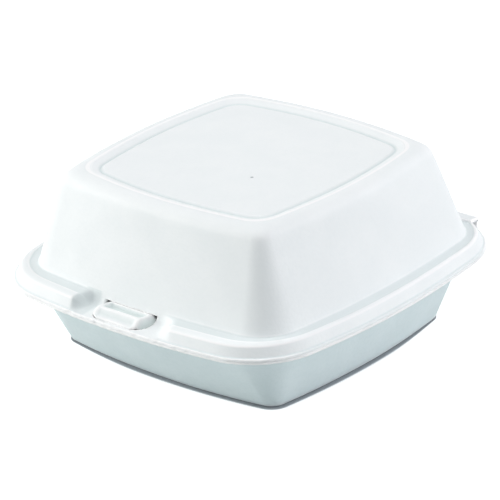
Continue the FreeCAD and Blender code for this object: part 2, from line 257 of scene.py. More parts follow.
# colour of the painted contact shadow
CONTACT_SHADOW_COLOUR = (0.36, 0.39, 0.42, 1)
FLOOR_COLOURS = ((0.66, 0.70, 0.70, 1), (0.69, 0.73, 0.73, 1))
FLOOR_REACHES = np.array([-4.0, -1.0, 0.0, 0.3, 0.6, 0.9, 1.2, 1.6, 2.0, 2.4, 2.8, 4.0, 9.0, 30.0,
                          100.0, 400.0, 1500.0])
LAMP_DISTANCE = 1.3
LAMP_SIZE = 0.9
LEFT_LAMP = (-0.743, -0.67, 0.35)       # directions from the container, and colours
RIGHT_LAMP = (0.81, 0.53, 0.35)
TOP_LAMP = (0.0, 0.01, 1.0)
LEFT_COLOUR = (1.0, 0.985, 0.96)
RIGHT_COLOUR = (1.0, 0.975, 1.0)
TOP_COLOUR = (0.98, 0.99, 1.0)
LEFT_POWER = 10.8
RIGHT_POWER = 8.5
TOP_POWER = 6.25


def at(outline, inset, z, radius=EDGE_ROUND):
    """Station of a section: six numbers (the outline moved inwards, then the height) and its rounding."""
    return np.append(outline - inset * SHRINK, z), radius


def section(stations, runs):
    """Path through the stations: straight runs of so many points each, and an arc at each inner station.

    The arc is tangent to both runs: along the run before it goes reach - r sin a, off it r (1 - cos a)."""
    path = [stations[0][0][None, :]]
    ends = [stations[0][0]]
    for (before, _), (corner, radius), (after, _) in zip(stations, stations[1:], stations[2:]):
        back, on = before - corner, after - corner
        back, on = back / math.hypot(back[0], back[5]), on / math.hypot(on[0], on[5])
        turn = math.pi - math.acos(back[0] * on[0] + back[5] * on[5])
        reach = radius * math.tan(turn / 2)
        angle = np.linspace(0, turn, ARC_POINTS)[:, None]
        lift = radius * (1 - np.cos(angle)) / math.sin(turn)
        along = reach - radius * np.sin(angle) + lift * math.cos(turn)
        arc = corner + along * back + lift * on
        ends += [arc[0], arc[-1]]
        path.append(arc)
    ends.append(stations[-1][0])
    pieces = [path[0]]
    for i, count in enumerate(runs):
        share = np.linspace(0, 1, count + 2)[1:-1, None]
        pieces.append(ends[2 * i] + share * (ends[2 * i + 1] - ends[2 * i]))
        pieces.append(path[i + 1] if i + 1 < len(path) else ends[-1][None, :])
    return np.concatenate(pieces)


def even(path, count):
    """The path again with so many points, evenly spaced along its length in the section's plane."""
    steps = np.hypot(np.diff(path[:, 0]), np.diff(path[:, 5]))
    length = np.concatenate([[0], np.cumsum(steps)])
    wanted = np.linspace(0, length[-1], count)
    return np.stack([np.interp(wanted, length, path[:, k]) for k in range(6)], axis=1)


def front_columns():
    """Places along the front: -2 to -1 and 1 to 2 are the outer thirds, -1 to 1 the straight middle.

    The ends of the slot fall on columns, so that it is cut straight."""
    marks = [-MIDDLE, LATCH_X - SLOT_HALF, LATCH_X + SLOT_HALF, MIDDLE]
    parts = [np.linspace(a, b, max(2, round((b - a) / COLUMN)), endpoint=False)
             for a, b in zip(marks, marks[1:])]
    middle = np.concatenate(parts + [[MIDDLE]]) / MIDDLE
    return np.concatenate([np.linspace(-2, -1, 9)[:-1], middle, np.linspace(1, 2, 9)[1:-1]])


def bowed_square(path):
    """Points (path, column, 3) of a section carried round its bowed squares, anticlockwise from above.

    A corner point is the corner's centre plus its radius; a side point lies on the side's arc, whose
    centre is a side radius behind the middle of the side."""
    half_x, half_y, side, corner, middle_y, z = path.T[:, :, None]
    p, q = side - half_x, side - half_y
    apart = np.hypot(p, q)
    along = np.sqrt((side - corner) ** 2 - apart ** 2 / 4)
    cx, cy = along * q / apart - p / 2, along * p / apart - q / 2
    start, end = np.arctan2(cy, cx + p), np.arctan2(cy + q, cx)
    end_x, end_y = cx + corner * np.cos(end), cy + corner * np.sin(start)
    share = np.linspace(0, 1, CORNER_POINTS, endpoint=False)
    turn = start + share * (end - start)
    back_turn = end + share * (start - end)
    run = np.linspace(-1, 1, SIDE_POINTS, endpoint=False)
    front = front_columns()
    outer = np.abs(front) > 1
    front_x = np.where(outer, np.sign(front) * (MIDDLE + (np.abs(front) - 1) * (end_x - MIDDLE)),
                       front * MIDDLE)
    side_y = run * end_y
    side_x = np.sqrt(side ** 2 - side_y ** 2) - p
    back_x = -run * end_x
    back_y = np.sqrt(side ** 2 - back_x ** 2) - q
    xs = [side_x, cx + corner * np.cos(turn), back_x, -cx - corner * np.cos(back_turn), -side_x,
          -cx - corner * np.cos(turn), front_x, cx + corner * np.cos(back_turn)]
    ys = [side_y, cy + corner * np.sin(turn), back_y, cy + corner * np.sin(back_turn), -side_y,
          -cy - corner * np.sin(turn), q - np.sqrt(side ** 2 - front_x ** 2),
          -cy - corner * np.sin(back_turn)]
    x, y = np.concatenate(xs, axis=1), np.concatenate(ys, axis=1) + middle_y
    return np.stack([x, y, np.broadcast_to(z, x.shape)], axis=2)


def smooth(value, low, high):
    """0 under low, 1 over high, and 3t2 - 2t3 between them."""
    t = np.clip((value - low) / (high - low), 0, 1)
    return t * t * (3 - 2 * t)


def waves(points, longest, shortest, count=14):
    """Gentle seeded unevenness: a sum of sine waves in random directions, between about -1 and 1."""
    seeded = np.random.default_rng(11)
    total = np.zeros(points.shape[:-1])
    for length in np.geomspace(longest, shortest, count):
        direction = seeded.normal(size=3)
        direction *= 2 * math.pi / length / np.linalg.norm(direction)
        total += np.sin(points @ direction + seeded.uniform(0, 2 * math.pi))
    return total / math.sqrt(count) / 1.4


def towards_middle(ring, z_rise):
    """Rings that shrink from the last ring of a section towards its middle, rising by z_rise."""
    share = np.linspace(1, 0.03, PANEL_RINGS + 1)[1:, None, None]
    centre = ring.mean(axis=0)
    rings = centre + share * (ring - centre)
    rings[:, :, 2] += z_rise * (1 - share[:, :, 0] ** 2)
    return rings


def past_ends(points):
    """How far a point lies past the left and the right end of the latch landing; under 0 is inside."""
    share = (FOOT_FRONT - points[..., 1]) / (FOOT_FRONT - FLANGE_FRONT)
    along = points[..., 0] - LATCH_X
    left = -along - LANDING_LEFT[0] - (LANDING_LEFT[1] - LANDING_LEFT[0]) * share
    right = along - LANDING_RIGHT[0] - (LANDING_RIGHT[1] - LANDING_RIGHT[0]) * share
    return left, right


def landing_share(points):
    """How much a point belongs to the flat latch landing: its left end is square, its right end slants."""
    left, right = past_ends(points)
    return (1 - smooth(left, *LEFT_FADE)) * (1 - smooth(right, *RIGHT_FADE)) * (points[..., 1] < 0)


def with_landing(plain, landing):
    """The plain surface, turned into the landing surface between the landing's ends."""
    share = landing_share(plain)[..., None]
    return plain + share * (landing - plain)


def unevenness(points, edge):
    """Moves the sheet a little as real pressed foam is: long waves, and a rough trimmed edge."""
    outwards = points * np.array([1.0, 1.0, 0.0])
    outwards /= np.linalg.norm(outwards, axis=2, keepdims=True) + 1e-9
    moved = points + outwards * (SWAY * waves(points, *SWAY_WAVES) - SWAY_IN)[..., None]
    rough = np.where(points[..., 1] < FRONT_LIMIT, FRONT_ROUGHNESS, SIDE_ROUGHNESS) * edge
    moved += outwards * (rough * (waves(points, *EDGE_WAVES) - EDGE_IN))[..., None]
    moved[..., 2] += EDGE_RISE * rough * waves(points[..., ::-1], *EDGE_RISE_WAVES)
    rise = RISE * waves(points[..., ::-1], *RISE_WAVES) - RISE_DOWN
    moved[..., 2] += rise * smooth(points[..., 2], *RISE_FROM)
    return moved


def painted_light_share(outside):
    """Painted light: 1 is painted shade on the floor of the lid's ledge, between the bead and the wall, and
    painted shadow by the landing's left end.

    It is above 1 for the darker painted shade in the groove round the panel, -1 for a painted highlight on
    the ridge outside that groove, and in between for painted shade on the lip along the right side."""
    row = np.arange(len(outside))[:, None]
    flat = 1 - smooth(np.abs(outside[..., 2] - LEDGE_Z), *LEDGE_BAND)
    # painted shade on the ledge's floor
    ledge = flat * (row > LIP_POINTS / 2) * (row < LIP_POINTS) * (1 - landing_share(outside))
    left = past_ends(outside)[0]
    # painted shadow on the landing by its left end
    by_end = smooth(left, *LEFT_SHADE[:2]) * (1 - smooth(left, *LEFT_SHADE[2:]))
    by_end *= (outside[..., 1] < 0) * (outside[..., 2] < FOOT_Z) * (1 - near_edge(outside, END_CLEAR))
    # painted shade in the groove round the panel
    groove = smooth(LID_TOP - outside[..., 2], *GROOVE_BAND) * (row > LIP_POINTS + RIDGE_ROWS[0])
    # painted highlight line round the panel
    ridge = (row > LIP_POINTS + RIDGE_ROWS[0]) & (row < LIP_POINTS + RIDGE_ROWS[1])
    # painted shade on the lip along the right side
    lip = LIP_SHADE * near_edge(outside, LIP_REACH) * smooth(outside[..., 0], *LIP_SHADE_X)
    shade = np.maximum(np.maximum(ledge, lip), np.minimum(END_SHADE * by_end, 1))
    return shade + GROOVE_SHADE * groove - ridge


def sheet_mesh(name, outside, inside, keep, outside_up, painted_light=None):
    """Closed sheet between two grids of points (row, column), the columns running round.

    Cells that keep leaves out are holes. A wall joins the grids along every edge of a hole and along
    the first row, and the last row of each grid is closed by a fan to its middle."""
    rows, columns = outside.shape[:2]
    points = np.concatenate([outside.reshape(-1, 3), inside.reshape(-1, 3),
                             outside[-1:].mean(axis=1), inside[-1:].mean(axis=1)])
    number = np.arange(rows * columns).reshape(rows, columns)
    following = np.roll(number, -1, axis=1)
    cells = np.stack([number[:-1], following[:-1], following[1:], number[1:]], axis=2)
    shift = rows * columns
    kept = cells[keep]
    faces = [kept, kept[:, ::-1] + shift]
    before = np.vstack([np.zeros((1, columns), bool), keep[:-1]])
    after = np.vstack([keep[1:], np.ones((1, columns), bool)])
    neighbours = ((0, 1, before), (1, 2, np.roll(keep, -1, axis=1)),
                  (2, 3, after), (3, 0, np.roll(keep, 1, axis=1)))
    for a, b, beside in neighbours:
        edge = cells[keep & ~beside]
        faces.append(np.stack([edge[:, b], edge[:, a], edge[:, a] + shift, edge[:, b] + shift], axis=1))
    fans = []
    for ring, pole, turned in ((number[-1], 2 * shift, False), (number[-1] + shift, 2 * shift + 1, True)):
        fan = np.stack([ring, np.roll(ring, -1), np.full(columns, pole)], axis=1)
        fans.append(fan[:, ::-1] if turned else fan)
    quads, triangles = np.concatenate(faces), np.concatenate(fans)
    if not outside_up:
        quads, triangles = quads[:, ::-1], triangles[:, ::-1]
    painted_light_per_point = np.zeros(len(points))
    if painted_light is not None:
        painted_light_per_point[:shift] = painted_light.ravel()
    return new_mesh(name, points, quads, triangles, painted_light_per_point)


def new_mesh(name, points, quads, triangles, painted_light=None):
    """Object at the origin with smooth-shaded faces, its place in its mesh. Points in no face are left out.

    Painted light gives each point its painted shade (above 0) or painted highlight (below 0), as worked out
    for the lid and in strip_mesh."""
    used, renamed = np.unique(np.concatenate([quads.ravel(), triangles.ravel()]), return_inverse=True)
    split = quads.size
    faces = renamed[:split].reshape(-1, 4).tolist() + renamed[split:].reshape(-1, 3).tolist()
    mesh = bpy.data.meshes.new(name)
    mesh.from_pydata((points[used] * MM).tolist(), [], faces)
    mesh.polygons.foreach_set("use_smooth", np.ones(len(mesh.polygons), bool))
    if painted_light is not None:
        mesh.attributes.new("painted_light", "FLOAT", "POINT").data.foreach_set("value", painted_light[used])
    piece = bpy.data.objects.new(name, mesh)
    bpy.context.scene.collection.objects.link(piece)
    return piece


def bending(mesh):
    """Stores how sharply the surface bends at each point: above 0 on ridges, below 0 in hollows.

    It is the mean, over a point's edges, of the other end's height over the point's tangent plane,
    divided by half the edge's length squared, and is then averaged with its neighbours twice."""
    count = len(mesh.vertices)
    place, normal = np.empty(count * 3), np.empty(count * 3)
    mesh.vertices.foreach_get("co", place)
    mesh.vertices.foreach_get("normal", normal)
    place, normal = place.reshape(-1, 3) / MM, normal.reshape(-1, 3)
    edges = np.empty(len(mesh.edges) * 2, int)
    mesh.edges.foreach_get("vertices", edges)
    a, b = edges.reshape(-1, 2).T
    start, end = np.concatenate([a, b]), np.concatenate([b, a])
    across = place[end] - place[start]
    bend = -2 * (across * normal[start]).sum(axis=1) / np.maximum((across ** 2).sum(axis=1), 0.01)
    met = np.bincount(start, minlength=count)
    value = np.bincount(start, bend, count) / met
    for _ in range(2):
        value = (value + np.bincount(start, value[end], count) / met) / 2
    mesh.attributes.new("bend", "FLOAT", "POINT").data.foreach_set("value", np.clip(value, -1, 1))


def lid_wall(inset, z):
    """The lid's wall at a height, carried straight down past its foot."""
    share = (FOOT_Z - z) / (LID_TOP - FOOT_Z)
    return LID_FOOT + share * (LID_FOOT - LID_CROWN), inset, z


def lid_rings(bead, landing, inset, top, groove):
    """Rings of one face of the lid: bead or landing, then wall, crown, step, groove and panel."""
    upper = section([at(LID_FOOT, inset, FOOT_Z), at(LID_CROWN, inset, top, CROWN_ROUND - inset),
                     at(LID_PANEL, -PANEL_SLOPE, top, RIDGE_ROUND),
                     at(LID_PANEL, 0, top - groove, GROOVE_ROUND),
                     at(LID_PANEL, GROOVE_WIDTH, top - PANEL_DEPTH, PANEL_ROUND),
                     at(LID_PANEL, PANEL_EDGE, top - PANEL_DEPTH)], UPPER_RUNS)
    lower = with_landing(bowed_square(even(bead, LIP_POINTS)), bowed_square(even(landing, LIP_POINTS)))
    rings = np.concatenate([lower, bowed_square(upper[1:])])
    return np.concatenate([rings, towards_middle(rings[-1], PANEL_RISE)])


def lid_outside():
    """Lid's outer face: lip, skirt, bead, ledge, wall, crown and panel, with the latch landing."""
    start = [at(FLANGE, 0, LIP_TOP - LIP_SIDE), at(FLANGE, 0, LIP_TOP, LIP_ROUND)]
    bead = section(start + [at(FLANGE, SKIRT_INSET, LIP_TOP, SKIRT_ROUND),
                            at(FLANGE, BEAD_INSET, BEAD_Z, BEAD_ROUND),
                            at(LID_LEDGE, -LEDGE_EDGE, BEAD_Z, LEDGE_TOP_ROUND), at(LID_LEDGE, 0, LEDGE_Z),
                            at(LID_FOOT, -LEDGE_EDGE, LEDGE_Z, LEDGE_ROUND), at(LID_FOOT, 0, FOOT_Z)],
                   [0, 2, 6, 2, 2, 8, 2])
    landing = section(start + [at(*lid_wall(0, LIP_TOP), LANDING_FILLET), at(LID_FOOT, 0, FOOT_Z)],
                      [0, 12, 4])
    return lid_rings(bead, landing, 0, LID_TOP, GROOVE_DEPTH)


def lid_inside():
    """Lid's inner face, point for point under the outer one."""
    start = [at(FLANGE, 0, SEAM_TOP + 0.3), at(FLANGE, 0, SEAM_TOP, 0.2)]
    bead = section(start + [at(FLANGE, SKIRT_INSET + WALL, SEAM_TOP, 0.4),
                            at(FLANGE, BEAD_INSET + WALL, LEDGE_UNDER, 0.8),
                            at(LID_FOOT, WALL - 1, LEDGE_UNDER, 0.4), at(LID_FOOT, WALL, FOOT_Z)],
                   [0, 4, 6, 8, 2])
    landing = section(start + [at(*lid_wall(WALL, SEAM_TOP), 1.2), at(LID_FOOT, WALL, FOOT_Z)], [0, 14, 6])
    return lid_rings(bead, landing, WALL, LID_TOP - FLOOR, PANEL_DEPTH + GROOVE_UNDER)


def near_edge(points, reach=0.9):
    """1 on the trimmed edge of the flange, fading out within reach of it."""
    edge = bowed_square(np.append(FLANGE, 0)[None, :])
    apart = np.linalg.norm((points - edge) * np.array([1.0, 1.0, 0.0]), axis=2)
    return 1 - smooth(apart, 0, reach)


def make_lid():
    """Lid sheet with its slot and window cut through the landing and the foot of the wall."""
    outside, inside = lid_outside(), lid_inside()
    corner = outside[:-1]
    middle_x = (corner[..., 0] + np.roll(corner[..., 0], -1, axis=1)) / 2 - LATCH_X
    middle_y = (outside[:-1, :, 1] + outside[1:, :, 1]) / 2
    middle_z = (outside[:-1, :, 2] + outside[1:, :, 2]) / 2
    beyond = np.clip(np.abs(middle_x) - SLOT_HALF + TONGUE_CORNER, 0, None)
    slot = (middle_z < WINDOW_TOP) & (beyond < TONGUE_CORNER) & (middle_y < 0)
    corner_depth = np.sqrt(np.clip(TONGUE_CORNER ** 2 - beyond ** 2, 0, None))
    slot &= middle_y > SLOT_FRONT + TONGUE_CORNER - corner_depth
    return sheet_mesh("lid_foam", unevenness(outside, near_edge(outside)),
                      unevenness(inside, near_edge(inside)), ~slot, True, painted_light_share(outside))


def make_tray():
    """Tray sheet: underside with floor and wall, and the inside with the raised rim."""
    under = FLANGE_TOP - PRESSED
    outer = section([at(FLANGE, 0, under + FLANGE_SIDE), at(FLANGE, 0, under, FLANGE_ROUND),
                     at(TRAY_MOUTH, 0, under, MOUTH_ROUND), at(TRAY_FLOOR, 0, 0, FLOOR_ROUND),
                     at(TRAY_FLOOR, WALL + FLOOR_ROUND, 0)], [0, 6, 14, 1])
    start = [at(FLANGE, 0, FLANGE_TOP - FLANGE_SIDE), at(FLANGE, 0, FLANGE_TOP, FLANGE_ROUND)]
    end = [at(TRAY_MOUTH, WALL, under - 1, 1.0), at(TRAY_FLOOR, WALL, FLOOR, FLOOR_HOLLOW),
           at(TRAY_FLOOR, WALL + FLOOR_HOLLOW, FLOOR)]
    rim = section(start + [at(FLANGE, RIM_INSET, FLANGE_TOP, RIM_FOOT_ROUND),
                           at(FLANGE, RIM_INSET + RIM_LEAN, RIM_TOP, RIM_ROUND),
                           at(FLANGE, RIM_INSET + RIM_WIDTH, RIM_TOP, RIM_ROUND)] + end,
                  [0, 6, 2, 2, 3, 14, 1])
    flat = section(start + [at(TRAY_MOUTH, WALL / 2, FLANGE_TOP, RIM_ROUND)] + end, [0, 8, 2, 14, 1])
    count = len(rim)
    outside = bowed_square(even(outer, count))
    inside = with_landing(bowed_square(even(rim, count)), bowed_square(even(flat, count)))
    outside = np.concatenate([outside, towards_middle(outside[-1], UNDERSIDE_RISE)])
    inside = np.concatenate([inside, towards_middle(inside[-1], FLOOR_RISE)])
    keep = np.ones((len(outside) - 1, outside.shape[1]), bool)
    return sheet_mesh("tray_foam", unevenness(outside, near_edge(outside)),
                      unevenness(inside, near_edge(inside)), keep, False)


def bent_line(start, heading, moves, spacing):
    """Centreline in the YZ plane from straight moves (length,) and arcs (radius, left turn in degrees)."""
    points, angle = [np.array([start])], math.radians(heading)
    for move in moves:
        y, z = points[-1][-1]
        if len(move) == 1:
            share = np.linspace(0, 1, max(2, round(move[0] / spacing)))[1:, None]
            points.append([y, z] + share * move[0] * np.array([math.cos(angle), math.sin(angle)]))
            continue
        turn = math.radians(move[1])
        radius = math.copysign(move[0], turn)
        centre = np.array([y - radius * math.sin(angle), z + radius * math.cos(angle)])
        turned = angle + np.linspace(0, turn, max(7, round(radius * turn / spacing)))[1:]
        points.append(centre + radius * np.stack([np.sin(turned), -np.cos(turned)], axis=1))
        angle += turn
    return np.concatenate(points)


def strip_mesh(name, line, half_sheet, half_width, middle_x, across, pressed=None):
    """Bent strip: at each point of the line, a rounded flat oval of that half thickness and half width.

    Round the oval, the place across is the half width times a clipped cosine, and the place through the
    sheet the half thickness times the sine, flattened to the sheet's two faces. Pressed, if given, presses
    a dish and turned-down sides into the strip, and gives its upper face painted shade there and in the
    nose's hollow."""
    ahead = np.gradient(line, axis=0)
    ahead /= np.linalg.norm(ahead, axis=1, keepdims=True)
    off = np.stack([-ahead[:, 1], ahead[:, 0]], axis=1)
    flat = np.linspace(1, -1, across)
    cap = np.linspace(math.pi / 2, -math.pi / 2, CAP_POINTS + 2)[1:-1]
    x_face = np.concatenate([flat, np.full(CAP_POINTS, -1.0), -flat, np.full(CAP_POINTS, 1.0)])
    x_cap = np.concatenate([np.zeros(across), -np.cos(cap), np.zeros(across), np.cos(cap)])
    lift = np.concatenate([np.ones(across), np.sin(cap), -np.ones(across), -np.sin(cap)])
    sheet, width = half_sheet[:, None], half_width[:, None]
    x = middle_x + x_face * (width - sheet) + x_cap * sheet
    y = line[:, :1] + off[:, :1] * lift * sheet
    z = line[:, 1:] + off[:, 1:] * lift * sheet
    points = np.stack([x, y, z], axis=2)
    if pressed:
        dish, hollow = dish_share(points)
        side = smooth(np.abs(points[..., 0] - middle_x), *SIDE_SHADE)
        # painted shade on the upper face: in the dish, the nose's hollow and on the sides
        shade = dish + hollow / 2 + side
        points = pressed(points, lift)
        points += TONGUE_WAVE * waves(points, *TONGUE_WAVES)[..., None] * np.array([0.0, 0.4, 1.0])
    rows, columns = points.shape[:2]
    number = np.arange(rows * columns).reshape(rows, columns)
    following = np.roll(number, -1, axis=1)
    quads = np.stack([number[:-1], number[1:], following[1:], following[:-1]], axis=2).reshape(-1, 4)
    poles = rows * columns + np.arange(2)
    first = np.stack([number[0], following[0], np.full(columns, poles[0])], axis=1)
    last = np.stack([following[-1], number[-1], np.full(columns, poles[1])], axis=1)
    everything = np.concatenate([points.reshape(-1, 3), points[:1].mean(axis=1), points[-1:].mean(axis=1)])
    painted_light_per_point = np.append(shade * (lift < 0), [0, 0]) if pressed else None
    return new_mesh(name, everything, quads, np.concatenate([first, last]), painted_light_per_point)


def dish_share(points):
    """How much a point of the tongue lies in the dish behind the crest, and in the nose's hollow."""
    y = points[..., 1]
    between = 1 - smooth(np.abs(points[..., 0] - LATCH_X), *TONGUE_RIM)
    dish = smooth(y, *DISH_Y[:2]) * (1 - smooth(y, *DISH_Y[2:])) * smooth(points[..., 2], 30, 31.5)
    hollow = smooth(-y, -NOSE_Y[0], -NOSE_Y[1]) * (1 - smooth(-y, -NOSE_Y[1], -NOSE_Y[2]))
    return between * dish, between * hollow


def dished(points, lift):
    """The tongue's pressing: a dish behind the crest, a hollow nose, raised rims, sides turned down.

    Lift is -1 on the face that lies on top once the tongue runs outwards, and 1 on its other face."""
    dish, hollow = dish_share(points)
    upper = np.clip(-lift, 0, 1)
    side = smooth(np.abs(points[..., 0] - LATCH_X), *TONGUE_SIDE)
    shaped = points.copy()
    shaped[..., 2] -= (DISH_DEPTH * dish + HOLLOW_DEPTH * hollow) * upper
    shaped[..., 2] -= SIDE_DROP * side * smooth(points[..., 2], 30, 32)
    shaped[..., 2] -= (1 - upper) * side * np.clip(shaped[..., 2] - SIDE_FOOT, 0, None)
    return shaped


def make_tongue():
    """Latch tongue: rises from the tray's wall, runs outwards through the slot and bends its nose down."""
    root = (FLANGE_FRONT + TONGUE_ROOT[0], FLANGE_TOP - TONGUE_ROOT[1])
    line = bent_line(root, TONGUE_HEADING, TONGUE_MOVES, TONGUE_STEP)
    steps = np.linalg.norm(np.diff(line, axis=0), axis=1)
    left = np.concatenate([np.cumsum(steps[::-1])[::-1], [0]])
    corner = np.clip(TONGUE_CORNER - left, 0, TONGUE_CORNER)
    half_width = TONGUE_HALF - TONGUE_CORNER + np.sqrt(TONGUE_CORNER ** 2 - corner ** 2)
    nose = np.clip(left / NOSE_TAPER, 0, 1)
    half_sheet = TONGUE_SHEET / 2 * np.sqrt(1 - (1 - nose) ** 2 * NOSE_THIN)
    return strip_mesh("tongue_foam", line, half_sheet, half_width, LATCH_X, TONGUE_COLUMNS, dished)


def make_hinge():
    """Hinge web: from the lid's ledge over the bead, down to the fold, round it and back over the flange.

    The straight run is the tangent from the apron's bend to the fold's circle."""
    middle = APRON_TOP - APRON_SHEET / 2
    apart = math.hypot(HINGE_Y - APRON_BEND, middle - HINGE_Z)
    drop = math.atan2(middle - HINGE_Z, HINGE_Y - APRON_BEND) - math.asin(FOLD_RADIUS / apart)
    cut = APRON_ROUND * math.tan(drop / 2)
    run = math.sqrt(apart ** 2 - FOLD_RADIUS ** 2) - cut
    degrees = math.degrees(drop)
    line = bent_line((APRON_INNER, middle), 0.0,
                     [(APRON_BEND - APRON_INNER - cut,), (APRON_ROUND, -degrees), (run,),
                      (FOLD_RADIUS, degrees - 180.0), (HINGE_Y - APRON_INNER,)], HINGE_STEP)
    before = APRON_BEND - APRON_INNER - cut + APRON_ROUND * drop + run
    after = before + FOLD_RADIUS * (math.pi - drop)
    length = np.concatenate([[0], np.cumsum(np.linalg.norm(np.diff(line, axis=0), axis=1))])
    half_sheet = np.interp(length, [before - THIN_FROM, before, after, after + LEAF_FROM],
                           np.array([APRON_SHEET, FOLD_SHEET, FOLD_SHEET, LEAF_SHEET]) / 2)
    flare = np.clip((HINGE_Y - line[:, 0]) / (HINGE_Y - APRON_BEND), 0, 1)
    return strip_mesh("hinge_foam", line, half_sheet, HINGE_HALF + HINGE_FLARE * flare, 0.0,
                      HINGE_COLUMNS)


class Nodes:
    """Short hand for a node tree: make a node, set its sockets by name, and join sockets."""

    def __init__(self, tree):
        self.tree = tree

    def add(self, kind, settings=(), **sockets):
        node = self.tree.nodes.new(kind)
        for name, value in dict(settings).items():
            setattr(node, name, value)
        for name, value in sockets.items():
            self.put(node.inputs[int(name[1:])] if name[1:].isdigit() else node.inputs[name], value)
        return node

    def put(self, socket, value):
        if isinstance(value, bpy.types.NodeSocket):
            self.tree.links.new(value, socket)
        else:
            socket.default_value = value


def foam_group():
    """Foam skin: fused beads as cells, a fine grain, and cloudy patches where the sheet was pressed more.

    Puts out a colour between Dark and Light, a roughness between Smooth and Rough, and a height."""
    tree = bpy.data.node_groups.new("foam_skin", "ShaderNodeTree")
    face = tree.interface
    for name, kind, value in (("Vector", "NodeSocketVector", None),
                              ("Bead Size", "NodeSocketFloat", BEAD_SIZE),
                              ("Light", "NodeSocketColor", (0.9, 0.9, 0.9, 1)),
                              ("Dark", "NodeSocketColor", (0.8, 0.8, 0.8, 1)),
                              ("Smooth", "NodeSocketFloat", 0.45), ("Rough", "NodeSocketFloat", 0.65)):
        socket = face.new_socket(name=name, in_out="INPUT", socket_type=kind)
        if value is not None:
            socket.default_value = value
    for name, kind in (("Color", "NodeSocketColor"), ("Roughness", "NodeSocketFloat"),
                       ("Height", "NodeSocketFloat")):
        face.new_socket(name=name, in_out="OUTPUT", socket_type=kind)
    n = Nodes(tree)
    given, out = n.add("NodeGroupInput"), n.add("NodeGroupOutput")
    vector = given.outputs["Vector"]
    density = n.add("ShaderNodeMath", {"operation": "DIVIDE"}, _0=1.0, _1=given.outputs["Bead Size"])
    beads = n.add("ShaderNodeTexVoronoi", {"feature": "F1"}, Vector=vector, Scale=density.outputs[0],
                  Randomness=0.85)
    cloud = n.add("ShaderNodeTexNoise", Vector=vector, Scale=CLOUD_SCALE, Detail=3.0, Roughness=0.55)
    grain = n.add("ShaderNodeTexNoise", Vector=vector, Scale=GRAIN_SCALE, Detail=2.0, Roughness=0.6)
    patches = n.add("ShaderNodeMapRange", {"interpolation_type": "SMOOTHSTEP"},
                    Value=cloud.outputs["Fac"], _1=0.35, _2=0.68)
    gap = n.add("ShaderNodeMapRange", {"interpolation_type": "SMOOTHSTEP"},
                Value=beads.outputs["Distance"], _1=0.35, _2=0.85, _3=1.0, _4=0.0)
    part = n.add("ShaderNodeMath", {"operation": "MULTIPLY_ADD"}, _0=gap.outputs[0], _1=0.35, _2=0.0)
    share = n.add("ShaderNodeMath", {"operation": "MULTIPLY_ADD"}, _0=patches.outputs[0], _1=0.55,
                  _2=part.outputs[0])
    speckle = n.add("ShaderNodeMath", {"operation": "MULTIPLY_ADD", "use_clamp": True},
                    _0=grain.outputs["Fac"], _1=0.2, _2=share.outputs[0])
    colour = n.add("ShaderNodeMix", {"data_type": "RGBA"}, _0=speckle.outputs[0],
                   _6=given.outputs["Dark"], _7=given.outputs["Light"])
    rough = n.add("ShaderNodeMix", {"data_type": "FLOAT"}, _0=share.outputs[0],
                  _2=given.outputs["Rough"], _3=given.outputs["Smooth"])
    low = n.add("ShaderNodeMath", {"operation": "MULTIPLY_ADD"}, _0=gap.outputs[0], _1=0.6, _2=0.0)
    mid = n.add("ShaderNodeMath", {"operation": "MULTIPLY_ADD"}, _0=grain.outputs["Fac"], _1=0.35,
                _2=low.outputs[0])
    n.put(out.inputs["Color"], colour.outputs[2])
    n.put(out.inputs["Roughness"], rough.outputs[0])
    n.put(out.inputs["Height"], mid.outputs[0])
    return tree


